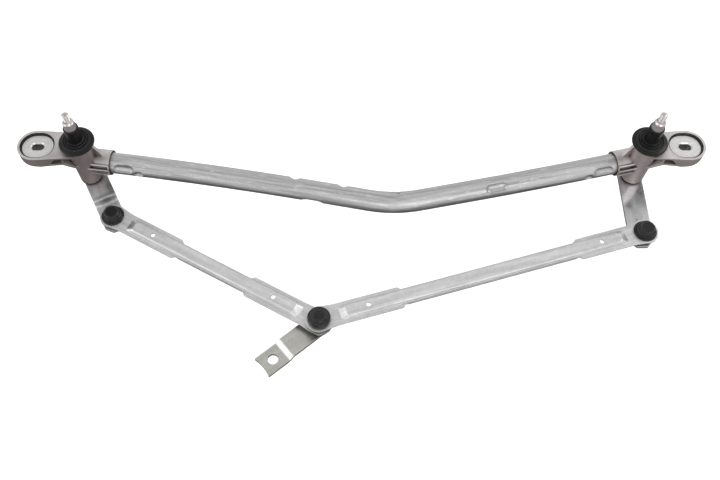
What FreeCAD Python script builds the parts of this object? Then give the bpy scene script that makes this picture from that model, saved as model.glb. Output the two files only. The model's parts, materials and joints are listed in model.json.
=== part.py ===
import FreeCAD, Part
import math
import os

# Windshield wiper linkage. Millimetres. +Z runs along the wiper shafts, out of the car; +X runs
# from the left mounting eye to the right one; -Y is the side that the motor crank hangs on.
# The origin lies midway between the two mounting slots, on the top faces of their bushings.

V = FreeCAD.Vector
UP = V(0, 0, 1)

# ---------------------------------------------------------------- driving dimensions
LEFT, RIGHT = -1, 1
SIDE_NAME = {LEFT: "left", RIGHT: "right"}

EYE_X = 375.0                                  # mounting slot to the centre of the frame
PIVOT = {LEFT: V(-327.5, 0, 0), RIGHT: V(331.0, 0, 0)}
BALL = {LEFT: V(-295.6, -55.1, 0), RIGHT: V(332.4, -80.8, 0)}   # lever ball studs
CRANK_PIN = V(-48.4, -192.2, 0)                # double ball stud of the motor crank
MOTOR_SHAFT = V(-99.7, -230.9, 0)              # tapered hole for the motor shaft

# mounting eyes: a stadium is a slot shape, given as half straight length and end radius
EYE_HALF = 2.6
EYE_R = 20.4
RIM_TOP = 2.6                                  # top of the eye's rim, above the bushing
EYE_LOW = -12.0                                # underside of the eye near its centre
EYE_LOW_OUTER = -8.5                           # underside at the outer end
RING_R = 17.6                                  # rubber ring outside
RING_TOP = 1.4
RING_LOW = -12.6
INSERT_R = 16.1                                # metal bushing outside
SLEEVE_R = 8.5                                 # bushing's sleeve below its top plate
PLATE_T = 2.0
SLOT_R = 4.25
SLOT_LENGTH = 14.0
SLOT_CHAMFER = 1.4

# pivot housings
BARREL_BOTTOM = -60.0
BARREL_R_TOP = 14.2
BARREL_R_BOTTOM = 13.3
NECK_R = 11.8
NECK_TOP = 6.0
BORE_R = 8.5
BUSH_LENGTH = 16.0
TAB_T = 2.8                                    # top plate between eye and barrel
TAB_HALF = 17.6                                # its half width at the barrel
FOOT_Z = -26.0                                 # underside of the truss at the barrel
FOOT_HALF = 13.6                               # half width of the truss there
KINK_REACH = 19.0                              # where the truss steepens, from the pivot
KINK_Z = -13.0
KINK_HALF = 17.3
TRUSS_WEB_HALF = 2.5                           # central web left between the truss's pockets
GUSSET_HALF = 1.7
GUSSET_END = 23.2                              # reach of the gusset from the pivot

# frame tube and the collars that hold its ends
TUBE_Z = -34.0
TUBE_R = 12.5
TUBE_WALL = 1.6
TUBE_SEAT = 14.0                               # length of tube inside a collar
COLLAR_R = 15.0
COLLAR_MOUTH = 1.5                             # inner chamfer where the tube goes in
COLLAR_FINS = ((41.0, 0.2), (20.0, -4.0), (-2.0, -8.6))   # elevation, length past the pivot
COLLAR_SLOTS = ((30.5, 20.0), (9.0, 18.0))     # elevation, length
FIN_HALF = 0.9
FIN_RISE = 2.4
SLOT_HALF = 1.8
SLOT_DEPTH = 1.7
SLOT_END = 1.6                                 # slots stop short of the collar's face
COLLAR_FACE = {LEFT: V(-295.7, 0.15, TUBE_Z), RIGHT: V(300.25, -1.25, TUBE_Z)}
COLLAR_ANGLE = {LEFT: -8.0, RIGHT: 193.3}      # heading of the tube as it leaves the collar
TUBE_KNEES = [V(-157.0, -19.5, TUBE_Z), V(38.0, -58.1, TUBE_Z), V(197.5, -25.4, TUBE_Z)]
KNEE_RADII = [4300.0, 150.0, 4800.0]

# shafts
SHAFT_R = 6.0
FIT = 0.05                                     # running fit, radial
CONE_Z = 36.6
CONE_R = 7.2
CONE_TOP = 46.5
CONE_TOP_R = 6.4
THREAD_R = 4.0
THREAD_LOW = 49.0
SHAFT_TIP = 61.0
SHAFT_CHAMFER = 1.0

# levers, balls and links: heights of the top faces of the plates
LEVER_T = 4.0
LEVER_TOP = -62.5
LEVER_STEP = 8.0                               # the left lever steps down by this much
LEVER_HEADING = {LEFT: -63.0, RIGHT: -90.0}
LEVER_OFFSET = {LEFT: 3.0, RIGHT: -2.1}        # centreline to the shaft
LEVER_HUB = 10.5                               # round end behind the shaft
BALL_R = 6.5
BALL_RISE = 8.0                                # ball centre above the lever plate
NECK_STUD_R = 3.6
SHEET = 1.6
BALL_ABOVE_LINK = 2.5                          # ball centre above the link's flat end
LINK_TOP = {LEFT: LEVER_TOP - LEVER_STEP + BALL_RISE - BALL_ABOVE_LINK,
            RIGHT: LEVER_TOP + BALL_RISE - BALL_ABOVE_LINK}
LOWER_BALL_DROP = 2.5                          # crank's lower ball centre below the left link
SOCKET_GAP = 0.25
OPEN_PIVOT_CLEARANCE = 4.1                     # radial room around the crank's upper ball
CAP_R = 13.4
SKIRT_R = 10.6

LINK_END_R = 15.6
LINK_HALF = 13.1                               # half width over the flanges
PANEL_HALF = 9.0
PANEL_TOP_HALF = 7.0
PANEL_RISE = 4.2
PANEL_START = 21.0                             # ball centre to the foot of the raised panel
PANEL_RAMP = 11.0                              # length of the ramp up to its top
PANEL_CORNER_R = 5.0
CROWN_R = 2.2                                  # rolled edge of the panel's top
CHANNEL_DEPTH = 5.0                            # folded walls below the flange level
TOOL_HOLE_R = 2.6

CRANK_ANGLE = 39.2                             # heading of the arm from the motor shaft
CRANK_T = 4.0
CRANK_HALF = 13.2
CRANK_TOP = LINK_TOP[LEFT] - LOWER_BALL_DROP - BALL_RISE + 0.5
CRANK_STEP = 4.5
CRANK_RAMP = (14.0, 19.2)                      # start and end of the step, from the motor shaft
CRANK_TAIL_HOLLOW_R = 42.0
CRANK_TAIL_HOLLOW = 2.1
LEVER_BEND_R = 3.6
CRANK_BEND_R = 7.0
MOTOR_HOLE_R = 6.0
CRANK_TAIL = 15.7                              # hole centre to the end of the arm


# ---------------------------------------------------------------- helpers
def heading(degrees):
    """Unit vector in the XY plane."""
    return V(math.cos(math.radians(degrees)), math.sin(math.radians(degrees)), 0)


def cylinder(radius, low, high, centre=V(0, 0, 0)):
    return Part.makeCylinder(radius, high - low, V(centre.x, centre.y, low), UP)


def revolved(profile, centre=V(0, 0, 0)):
    """Solid of revolution about a vertical axis; profile is a closed list of (radius, z)."""
    points = [V(r, 0, z) for r, z in profile]
    face = Part.Face(Part.makePolygon(points + [points[0]]))
    solid = face.revolve(V(0, 0, 0), UP, 360)
    solid.translate(V(centre.x, centre.y, 0))
    return solid


def stadium_wire(half, radius, z, centre):
    """Slot-shaped outline that runs along X."""
    x, y = centre.x, centre.y
    edges = [
        Part.LineSegment(V(x - half, y - radius, z), V(x + half, y - radius, z)).toShape(),
        Part.Arc(V(x + half, y - radius, z), V(x + half + radius, y, z),
                 V(x + half, y + radius, z)).toShape(),
        Part.LineSegment(V(x + half, y + radius, z), V(x - half, y + radius, z)).toShape(),
        Part.Arc(V(x - half, y + radius, z), V(x - half - radius, y, z),
                 V(x - half, y - radius, z)).toShape(),
    ]
    return Part.Wire(edges)


def stadium(half, radius, low, high, centre):
    """Upright prism with a slot-shaped outline."""
    face = Part.Face(stadium_wire(half, radius, low, centre))
    return face.extrude(V(0, 0, high - low))


def rounded_path(points, radii):
    """Straight runs joined by tangent arcs, one radius for each inner point."""
    edges = []
    start = points[0]
    for before, corner, after, radius in zip(points, points[1:], points[2:], radii):
        into = (corner - before).normalize()
        out = (after - corner).normalize()
        half_turn = into.getAngle(out) / 2
        reach = radius * math.tan(half_turn)
        tangent_in = corner - into * reach
        tangent_out = corner + out * reach
        inward = (out - into).normalize()
        middle = corner + inward * (radius / math.cos(half_turn) - radius)
        edges.append(Part.LineSegment(start, tangent_in).toShape())
        edges.append(Part.Arc(tangent_in, middle, tangent_out).toShape())
        start = tangent_out
    edges.append(Part.LineSegment(start, points[-1]).toShape())
    return edges


def rounded_outline(corners, low, high):
    """Upright prism on a closed outline; corners is a list of (x, y, corner radius)."""
    count = len(corners)
    points = [V(x, y, low) for x, y, _ in corners]
    edges = []
    ends = []
    for i in range(count):
        corner, radius = points[i], corners[i][2]
        into = (corner - points[i - 1]).normalize()
        out = (points[(i + 1) % count] - corner).normalize()
        if radius == 0:
            ends.append((corner, corner, None))
            continue
        half_turn = into.getAngle(out) / 2
        reach = radius * math.tan(half_turn)
        inward = (out - into).normalize()
        middle = corner + inward * (radius / math.cos(half_turn) - radius)
        ends.append((corner - into * reach, corner + out * reach, middle))
    for i in range(count):
        first, last, middle = ends[i]
        if middle is not None:
            edges.append(Part.Arc(first, middle, last).toShape())
        following = ends[(i + 1) % count][0]
        if last.distanceToPoint(following) > 1e-6:
            edges.append(Part.LineSegment(last, following).toShape())
    return Part.Face(Part.Wire(edges)).extrude(V(0, 0, high - low))


def side_profile(points, half_width):
    """Prism on a closed (x, z) outline, centred on the XZ plane and half_width to each side."""
    corners = [V(x, -half_width, z) for x, z in points]
    face = Part.Face(Part.makePolygon(corners + [corners[0]]))
    return face.extrude(V(0, 2 * half_width, 0))


def place(shape, origin, degrees):
    """Turn a shape built along +X about the vertical and move it to its origin."""
    placed = shape.copy()
    placed.rotate(V(0, 0, 0), UP, degrees)
    placed.translate(V(origin.x, origin.y, 0))
    return placed


def angle_of(vector):
    return math.degrees(math.atan2(vector.y, vector.x))


def export(shape, name):
    solids = shape.Solids
    if len(solids) != 1 or not shape.isValid():
        print("check", name, "solids", len(solids), "valid", shape.isValid())
    shape.exportStep("parts/%s.step" % name)


# ---------------------------------------------------------------- frame tube
def tube_path(overrun):
    """Axis of the tube, with each end carried on by the overrun."""
    ends = []
    for side in (LEFT, RIGHT):
        ends.append(COLLAR_FACE[side] - heading(COLLAR_ANGLE[side]) * (TUBE_SEAT + overrun))
    return rounded_path([ends[0]] + TUBE_KNEES + [ends[1]], KNEE_RADII)


def swept_round(edges, radius):
    start = edges[0].Vertexes[0].Point
    direction = edges[0].tangentAt(edges[0].FirstParameter)
    disc = Part.Face(Part.Wire(Part.makeCircle(radius, start, direction)))
    return Part.Wire(edges).makePipe(disc)


def dent_cutter(centre, along, elevation, radius, length, depth, crosswise, skin):
    """Capsule that presses a dent into the tube; skin grows it for the bore's bulge.

    elevation is the dent's direction above the horizontal, measured on the -Y side. The
    capsule lies along the tube, or across it where crosswise is true.
    """
    front = V(along.y, -along.x, 0)
    lift = math.radians(elevation)
    outward = front * math.cos(lift) + UP * math.sin(lift)
    middle = centre + outward * (TUBE_R - depth + radius)
    line = along.cross(outward) if crosswise else along
    start = middle - line * (length / 2)
    capsule = Part.makeCylinder(radius + skin, length, start, line)
    capsule = capsule.fuse(Part.makeSphere(radius + skin, start))
    return capsule.fuse(Part.makeSphere(radius + skin, start + line * length))


def dent_list():
    """Each dent: axis point, tube's direction, elevation, radius, length, depth, crosswise."""
    dents = []
    for side in (LEFT, RIGHT):
        along = heading(COLLAR_ANGLE[side])
        face = COLLAR_FACE[side]
        sense = V(along) if along.x > 0 else along * -1
        dents.append((face + along * 17.6, sense, 27, 7.0, 12.0, 3.4, False))
        dents.append((face + along * 35.1, sense, 3, 6.0, 1.0, 2.6, False))
    left_run = (TUBE_KNEES[1] - TUBE_KNEES[0]).normalize()
    right_run = (TUBE_KNEES[2] - TUBE_KNEES[1]).normalize()
    for x, run, elevation, radius, length, depth, crosswise in (
            (-80.0, left_run, 147, 10.0, 14.0, 2.6, True),
            (-23.5, left_run, 147, 10.0, 14.0, 2.0, True),
            (-55.0, left_run, -33, 16.0, 8.0, 3.2, False),
            (156.0, right_run, 52, 7.0, 14.5, 3.6, False)):
        point = TUBE_KNEES[1] + run * ((x - TUBE_KNEES[1].x) / run.x)
        dents.append((point, run, elevation, radius, length, depth, crosswise))

    # crease on the inner side of the main bend
    bend_middle = TUBE_KNEES[1] + V(4.6, 3.4, 0)
    dents.append((bend_middle, V(1, 0, 0), 136, 2.4, 12.0, 1.8, True))
    return dents


def frame_tube():
    outside = swept_round(tube_path(0.0), TUBE_R)
    bore = swept_round(tube_path(1.0), TUBE_R - TUBE_WALL)
    for dent in dent_list():
        outside = outside.cut(dent_cutter(*dent, 0.0))
        bore = bore.cut(dent_cutter(*dent, TUBE_WALL))
    return outside.cut(bore)


# ---------------------------------------------------------------- pivot housings
def collar_frame(side):
    """Origin on the collar's axis level with the pivot, and the heading towards the tube."""
    face = COLLAR_FACE[side]
    along = heading(COLLAR_ANGLE[side])
    reach = (face - PIVOT[side]).dot(along)
    return face - along * reach, along, reach


def collar_bar(side, elevation, half, inner, outer, end, length):
    """Bar along the collar's front, from a distance along its axis back by its length."""
    start, along, _ = collar_frame(side)
    lift = math.radians(elevation)
    front = V(along.y, -along.x, 0) * (1 if along.x > 0 else -1)
    outward = front * math.cos(lift) + UP * math.sin(lift)
    across = along.cross(outward)
    base = start + along * end + outward * inner - across * half
    rise = outward * (outer - inner)
    width = across * (2 * half)
    wire = Part.makePolygon([base, base + width, base + width + rise, base + rise, base])
    return Part.Face(wire).extrude(along * -length)


def collar_fins(side):
    """Three stiffening fins on the collar's front."""
    reach = collar_frame(side)[2]
    return [collar_bar(side, elevation, FIN_HALF, COLLAR_R - SLOT_DEPTH, COLLAR_R + FIN_RISE,
                       reach, reach + extra)
            for elevation, extra in COLLAR_FINS]


def collar_slots(side):
    """Deep slots between the fins."""
    reach = collar_frame(side)[2]
    return [collar_bar(side, elevation, SLOT_HALF, COLLAR_R - SLOT_DEPTH, COLLAR_R + 4.0,
                       reach - SLOT_END, length)
            for elevation, length in COLLAR_SLOTS]


def upright_prism(outline, low, high):
    """Vertical prism on a closed list of (x, y)."""
    points = [V(x, y, low) for x, y in outline]
    face = Part.Face(Part.makePolygon(points + [points[0]]))
    return face.extrude(V(0, 0, high - low))


def truss_pockets(side):
    """Front and back pockets of the truss, either side of a leaning rib and a central web."""
    pivot = PIVOT[side]
    roof = RIM_TOP - TAB_T
    outer = [(33.5, -9.0), (25.0, roof), (17.8, roof), (19.2, -10.8)]
    inner = [(16.0, roof), (17.4, -10.6), (6.0, FOOT_Z + 3.6), (3.0, FOOT_Z + 3.6), (3.0, roof)]
    cutters = []
    for pocket in (outer, inner):
        corners = [V(pivot.x + side * reach, 0, z) for reach, z in pocket]
        face = Part.Face(Part.makePolygon(corners + [corners[0]]))
        for hand in (LEFT, RIGHT):
            cutter = face.extrude(V(0, hand * 30.0, 0))
            cutter.translate(V(0, hand * TRUSS_WEB_HALF, 0))
            cutters.append(cutter)
    return cutters


def mounting_tab(side):
    """Eye, top plate and the open truss below it, from the eye to the barrel."""
    eye = V(side * EYE_X, 0, 0)
    pivot = PIVOT[side]
    tip_x = eye.x + side * (EYE_HALF + EYE_R + 1.0)
    near_x = pivot.x + side * 4.0
    kink_x = pivot.x + side * KINK_REACH
    plate_end = eye.x - side * EYE_HALF
    plate_half = EYE_R - 0.05                  # just inside the eye's round wall
    plate = upright_prism([(near_x, TAB_HALF), (near_x, -TAB_HALF), (plate_end, -plate_half),
                           (plate_end, plate_half)], RIM_TOP - TAB_T, RIM_TOP)
    truss = upright_prism([(near_x, FOOT_HALF), (near_x, -FOOT_HALF), (kink_x, -KINK_HALF),
                           (plate_end, -plate_half), (plate_end, plate_half),
                           (kink_x, KINK_HALF)], FOOT_Z, RIM_TOP - TAB_T)
    wall = stadium(EYE_HALF, EYE_R, FOOT_Z, RIM_TOP, eye)
    tab = plate.fuse([truss, wall])
    underside = [(near_x, FOOT_Z), (pivot.x + side * 6.0, FOOT_Z), (kink_x, KINK_Z),
                 (pivot.x + side * 24.0, EYE_LOW - 0.5), (eye.x - side * 3.0, EYE_LOW),
                 (tip_x, EYE_LOW_OUTER), (tip_x, RIM_TOP), (near_x, RIM_TOP)]
    tab = tab.common(side_profile(underside, 30.0))
    for cutter in truss_pockets(side):
        tab = tab.cut(cutter)
    return tab


def pivot_housing(side):
    pivot = PIVOT[side]
    eye = V(side * EYE_X, 0, 0)
    start, along, reach = collar_frame(side)
    barrel = revolved([(0, BARREL_BOTTOM), (BARREL_R_BOTTOM - 0.6, BARREL_BOTTOM),
                       (BARREL_R_BOTTOM, BARREL_BOTTOM + 0.6), (BARREL_R_TOP, RIM_TOP - 0.8),
                       (BARREL_R_TOP - 0.8, RIM_TOP), (NECK_R, RIM_TOP),
                       (NECK_R, NECK_TOP), (0, NECK_TOP)], pivot)
    collar = Part.makeCylinder(COLLAR_R, reach, start, along)

    # upright gusset from under the boot down to the collar's crown
    crown = TUBE_Z + COLLAR_R
    rib = side_profile([(8.0, RIM_TOP - 1.1), (12.8, RIM_TOP - 1.4), (GUSSET_END, crown + 0.3),
                        (GUSSET_END, crown - 4.0), (8.0, crown - 4.0)], GUSSET_HALF)
    rib = place(rib, start, COLLAR_ANGLE[side])

    body = barrel.fuse([collar, mounting_tab(side), rib] + collar_fins(side))
    for slot in collar_slots(side):
        body = body.cut(slot)
    seat_r = TUBE_R + 0.02
    face_point = start + along * reach
    seat = Part.makeCylinder(seat_r, TUBE_SEAT + 0.2, face_point, along * -1)
    mouth = Part.makeCone(seat_r + COLLAR_MOUTH, seat_r, COLLAR_MOUTH, face_point, along * -1)
    body = body.cut(seat).cut(mouth)
    body = body.cut(cylinder(BORE_R, BARREL_BOTTOM - 1, NECK_TOP + 1, pivot))
    body = body.cut(stadium(EYE_HALF, RING_R, FOOT_Z - 1, RIM_TOP + 1, eye))
    return body.removeSplitter()


def mount_grommet(side):
    """Rubber ring between the eye and the metal bushing, with a flange under the eye."""
    eye = V(side * EYE_X, 0, 0)
    flange_t = 1.2
    ring = stadium(EYE_HALF, RING_R, RING_LOW, RING_TOP, eye)
    flange = stadium(EYE_HALF, RING_R + 0.8, RING_LOW - flange_t, RING_LOW, eye)
    body = ring.fuse(flange)
    body = body.cut(stadium(EYE_HALF, INSERT_R, -PLATE_T, RING_TOP + 1, eye))
    sleeve = stadium(EYE_HALF, SLEEVE_R, RING_LOW - flange_t - 1, RING_TOP + 1, eye)
    return body.cut(sleeve).removeSplitter()


def mount_bushing(side):
    """Metal top plate with a bevelled edge, and a sleeve with the slotted bolt hole."""
    eye = V(side * EYE_X, 0, 0)
    half = (SLOT_LENGTH - 2 * SLOT_R) / 2
    edge_z, plate_z, crown_z = -0.8, -0.3, -0.15
    bottom = RING_LOW - 2.9
    plate = stadium(EYE_HALF, INSERT_R, -PLATE_T, edge_z, eye)
    bevel = Part.makeLoft([stadium_wire(EYE_HALF, INSERT_R, edge_z, eye),
                           stadium_wire(EYE_HALF, INSERT_R - 0.6, plate_z, eye)], True, True)
    crown = stadium(EYE_HALF, INSERT_R - 3.2, plate_z, crown_z, eye)
    collar = stadium(half, SLOT_R + 3.4, crown_z, 0.0, eye)
    sleeve = stadium(EYE_HALF, SLEEVE_R, bottom, -PLATE_T, eye)
    body = plate.fuse([bevel, crown, collar, sleeve])
    body = body.cut(stadium(half, SLOT_R, bottom - 1, 1.0, eye))
    rims = [stadium_wire(half, SLOT_R, -SLOT_CHAMFER, eye),
            stadium_wire(half, SLOT_R + SLOT_CHAMFER, 0.0, eye)]
    return body.cut(Part.makeLoft(rims, True, False)).removeSplitter()


def shaft_boot(side):
    """Rubber boot: wide ribbed disc over the barrel's head and a tall sleeve up the shaft."""
    foot = RIM_TOP + 0.2
    profile = [(12.3, foot), (14.0, foot), (14.0, 6.6), (19.6, 8.4), (20.5, 9.3), (20.5, 10.2),
               (19.6, 10.9), (16.2, 12.0), (15.4, 13.4), (14.7, 13.4), (14.1, 12.2), (12.9, 12.5),
               (12.4, 14.6), (11.7, 14.6), (11.2, 13.4), (10.3, 13.8), (9.9, 16.2), (9.2, 16.2),
               (8.8, 15.4), (8.6, 18.0), (8.6, CONE_Z + 0.2), (8.0, CONE_Z + 0.8),
               (7.5, CONE_Z + 0.8), (7.5, CONE_Z - 0.6), (6.4, CONE_Z - 2.5), (6.4, CONE_Z - 4.5),
               (7.4, CONE_Z - 6.5), (7.6, 17.0), (10.0, 11.0), (12.3, 9.0)]
    return revolved(profile, PIVOT[side])


def bearing_bush(side, low):
    pivot = PIVOT[side]
    bush = cylinder(BORE_R, low, low + BUSH_LENGTH, pivot)
    return bush.cut(cylinder(SHAFT_R + FIT, low - 1, low + BUSH_LENGTH + 1, pivot))


# ---------------------------------------------------------------- wiper shafts
WASHER_LOW = NECK_TOP + 0.15
WASHER_T = 0.9
CIRCLIP_LOW = WASHER_LOW + WASHER_T + 0.1
CIRCLIP_T = 1.1
GROOVE_R = 5.2
HUB_R = 5.0                                    # shaft end inside the lever
RIVET_T = 1.8


def wiper_shaft(side):
    lever_bottom = LEVER_TOP - LEVER_T
    groove_top = CIRCLIP_LOW + CIRCLIP_T
    profile = [(0, lever_bottom - RIVET_T), (HUB_R + 1.6, lever_bottom - RIVET_T),
               (HUB_R + 2.4, lever_bottom - 0.6), (HUB_R + 2.4, lever_bottom), (HUB_R, lever_bottom),
               (HUB_R, LEVER_TOP), (SHAFT_R, LEVER_TOP),
               (SHAFT_R, CIRCLIP_LOW), (GROOVE_R, CIRCLIP_LOW), (GROOVE_R, groove_top),
               (SHAFT_R, groove_top), (SHAFT_R, CONE_Z), (CONE_R, CONE_Z + 0.8),
               (CONE_TOP_R, CONE_TOP), (THREAD_R, THREAD_LOW), (THREAD_R, SHAFT_TIP - SHAFT_CHAMFER),
               (THREAD_R - SHAFT_CHAMFER, SHAFT_TIP), (0, SHAFT_TIP)]
    return revolved(profile, PIVOT[side])


def thrust_washer(side):
    pivot = PIVOT[side]
    ring = cylinder(9.6, WASHER_LOW, WASHER_LOW + WASHER_T, pivot)
    return ring.cut(cylinder(SHAFT_R + FIT, WASHER_LOW - 1, WASHER_LOW + 2, pivot))


def circlip(side):
    """External retaining ring with its gap on the far side."""
    pivot = PIVOT[side]
    top = CIRCLIP_LOW + CIRCLIP_T
    ring = cylinder(8.4, CIRCLIP_LOW, top, pivot)
    ring = ring.cut(cylinder(GROOVE_R, CIRCLIP_LOW - 1, top + 1, pivot))
    return ring.cut(Part.makeBox(3.0, 10.0, 4.0, V(pivot.x - 1.5, 0, CIRCLIP_LOW - 1)))


def o_ring(side):
    """Seal between the barrel's lower end and the lever."""
    section = 1.1
    return Part.makeTorus(12.1, section, V(PIVOT[side].x, 0, LEVER_TOP + section + 0.02))


# ---------------------------------------------------------------- levers
def stepped_plate(profile_top, thickness, half_width, bend_radius):
    """Bent flat bar along +X: profile_top lists (x, z) of the top face."""
    lower = [(x, z - thickness) for x, z in reversed(profile_top)]
    bar = side_profile(profile_top + lower, half_width)
    first, last = profile_top[0][0], profile_top[-1][0]
    bends = [edge for edge in bar.Edges if abs(edge.CenterOfMass.y) < 0.01
             and first + 1.0 < edge.CenterOfMass.x < last - 1.0]
    return bar.makeFillet(bend_radius, bends) if bends else bar


def lever_outline(half, nose, bevel_half, bevel_length):
    """Arm along +X with parallel edges, a round hub end and a bevelled far end."""
    shoulder = nose - bevel_length
    return rounded_outline([(-LEVER_HUB, -half, 9.0), (shoulder, -half, 5.0),
                            (nose, -bevel_half, 3.0), (nose, bevel_half, 3.0),
                            (shoulder, half, 5.0), (-LEVER_HUB, half, 9.0)], -100, 0)


def finished_lever(side, outline, top_profile):
    """Lever plate in place, with the shaft hole and the hole for its ball stud."""
    pivot = PIVOT[side]
    plate = stepped_plate(top_profile, LEVER_T, 40.0, LEVER_BEND_R).common(outline)
    plate.translate(V(0, LEVER_OFFSET[side], 0))
    plate = place(plate, pivot, LEVER_HEADING[side])
    plate = plate.cut(cylinder(HUB_R, -100, 0, pivot))
    return plate.cut(cylinder(NECK_STUD_R, -100, 0, BALL[side])).removeSplitter()


def left_lever():
    low = LEVER_TOP - LEVER_STEP
    top = [(-40, LEVER_TOP), (36.5, LEVER_TOP), (40.0, low), (120, low)]
    return finished_lever(LEFT, lever_outline(14.1, 80.6, 6.5, 9.0), top)


def right_lever():
    top = [(-40, LEVER_TOP), (120, LEVER_TOP)]
    plate = finished_lever(RIGHT, lever_outline(14.0, 98.2, 6.4, 9.6), top)
    mark = cylinder(1.3, LEVER_TOP - 0.8, 0, V(PIVOT[RIGHT].x - 3.8, -62.0, 0))
    return plate.cut(mark)


def lever_ball_stud(side):
    plate_top = LEVER_TOP - (LEVER_STEP if side == LEFT else 0.0)
    return ball_stud(BALL[side], plate_top, LEVER_T, [plate_top + BALL_RISE])


def ball_stud(centre, plate_top, plate_t, ball_heights):
    """Riveted stud: neck through the plate, a collar on top of it and one or two balls."""
    bottom = plate_top - plate_t
    stud = cylinder(NECK_STUD_R, bottom, ball_heights[-1], centre)
    stud = stud.fuse(cylinder(6.4, plate_top, plate_top + 1.2, centre))
    rivet = revolved([(0, bottom - 1.8), (4.2, bottom - 1.8), (5.6, bottom - 0.8),
                      (5.6, bottom), (0, bottom)], centre)
    stud = stud.fuse(rivet)
    for height in ball_heights:
        stud = stud.fuse(Part.makeSphere(BALL_R, V(centre.x, centre.y, height)))
    return stud.removeSplitter()


# ---------------------------------------------------------------- link rods
def loft_box(x_low, x_high, half_low, half_high, z_low, z_high, end_draft):
    """Drafted block along +X, narrower and shorter at its top."""
    wires = []
    for half, inset, z in ((half_low, 0.0, z_low), (half_high, end_draft, z_high)):
        a, b = x_low + inset, x_high - inset
        wires.append(Part.makePolygon([V(a, -half, z), V(b, -half, z), V(b, half, z),
                                       V(a, half, z), V(a, -half, z)]))
    return Part.makeLoft(wires, True, True)


def flange_layer(length, flange_lengths, last_bevel):
    """Flat sheet at both ends: round or bevelled nose, and flanges beside the panel."""
    pieces = []
    end_half = LINK_END_R - 0.9
    for near, sense, flange, bevelled in ((0.0, 1, flange_lengths[0], False),
                                          (length, -1, flange_lengths[1], last_bevel)):
        def x(distance):
            return near + sense * distance
        tip = [(x(LINK_END_R + 4.0), LINK_HALF), (x(flange - 5.0), LINK_HALF),
               (x(flange), PANEL_HALF - 0.5), (x(flange), -PANEL_HALF + 0.5),
               (x(flange - 5.0), -LINK_HALF), (x(LINK_END_R + 4.0), -LINK_HALF)]
        root = [(x(6.0), -end_half), (x(-6.0), -end_half),
                (x(-6.0), end_half), (x(6.0), end_half)]
        radii = [20.0, 3.0, 0, 0, 3.0, 20.0, 20.0, 0, 0, 20.0]
        if bevelled:
            root[1:3] = [(x(-7.0), -end_half), (x(-LINK_END_R), -4.5),
                         (x(-LINK_END_R), 4.5), (x(-7.0), end_half)]
            radii = [20.0, 3.0, 0, 0, 3.0, 20.0, 20.0, 2.0, 2.0, 2.0, 2.0, 20.0]
        outline = [(px, py, r) for (px, py), r in zip(tip + root, radii)]
        pieces.append(rounded_outline(outline, -SHEET, 0.0))
        if not bevelled:
            pieces.append(cylinder(LINK_END_R, -SHEET, 0.0, V(near, 0, 0)))
    return pieces


def link_rod(length, flange_lengths, tool_holes, socket_r, last_bevel):
    """Pressed link along +X from its outer ball, flat ends at z = 0.

    A raised panel runs between the ends. Near the ends its walls meet flat flanges, and
    between them the walls are folded down into an open channel.
    """
    panel_end = length - PANEL_START
    shell = loft_box(PANEL_START, panel_end, PANEL_HALF + 0.6, PANEL_TOP_HALF,
                     -SHEET, PANEL_RISE, PANEL_RAMP)
    corners = [edge for edge in shell.Edges if abs(edge.CenterOfMass.z - PANEL_RISE / 2) < 1.5
               and abs(edge.Vertexes[0].Z - edge.Vertexes[-1].Z) > 1.0]
    shell = shell.makeFillet(PANEL_CORNER_R, corners)
    crown = [edge for edge in shell.Edges
             if abs(edge.CenterOfMass.z - PANEL_RISE) < 0.01]
    shell = shell.makeFillet(CROWN_R, crown)
    inset = SHEET * 1.9
    hollow = loft_box(PANEL_START + inset, panel_end - inset, PANEL_HALF + 0.6 - SHEET * 1.1,
                      PANEL_TOP_HALF - SHEET * 0.9, -SHEET - 0.01, PANEL_RISE - SHEET,
                      PANEL_RAMP - 2.0)
    channel_low = flange_lengths[0] - 6.0
    channel_high = length - flange_lengths[1] + 6.0
    walls = side_profile([(channel_low, 1.0), (channel_low, -SHEET), (channel_low + 9, -CHANNEL_DEPTH),
                          (channel_high - 9, -CHANNEL_DEPTH), (channel_high, -SHEET),
                          (channel_high, 1.0)], PANEL_HALF)
    channel = side_profile([(channel_low, 2.0), (channel_low, -CHANNEL_DEPTH - 1),
                            (channel_high, -CHANNEL_DEPTH - 1), (channel_high, 2.0)],
                           PANEL_HALF - SHEET)
    body = shell.fuse(flange_layer(length, flange_lengths, last_bevel) + [walls])
    body = body.cut(hollow).cut(channel)
    for distance in tool_holes:
        body = body.cut(cylinder(TOOL_HOLE_R, -10, 10, V(distance, 0, 0)))
    body = body.cut(cylinder(socket_r[0], -10, 10))
    body = body.cut(cylinder(socket_r[1], -10, 10, V(length, 0, 0)))
    return body.removeSplitter()


def placed_link(side):
    ball = BALL[side]
    span = CRANK_PIN - ball
    if side == LEFT:
        rod = link_rod(span.Length, (96.5, 96.0), (58.4, span.Length - 59.6),
                       (SKIRT_R, SKIRT_R), True)
    else:
        rod = link_rod(span.Length, (88.5, 100.0), (55.9, span.Length - 57.5),
                       (SKIRT_R, OPEN_SKIRT_R), False)
    rod = place(rod, ball, angle_of(span))
    rod.translate(V(0, 0, LINK_TOP[side]))
    return rod


# ---------------------------------------------------------------- ball sockets
OPEN_CAVITY_R = BALL_R + OPEN_PIVOT_CLEARANCE
OPEN_SKIRT_R = OPEN_CAVITY_R + 1.2
DOME_R = 12.9


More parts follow.
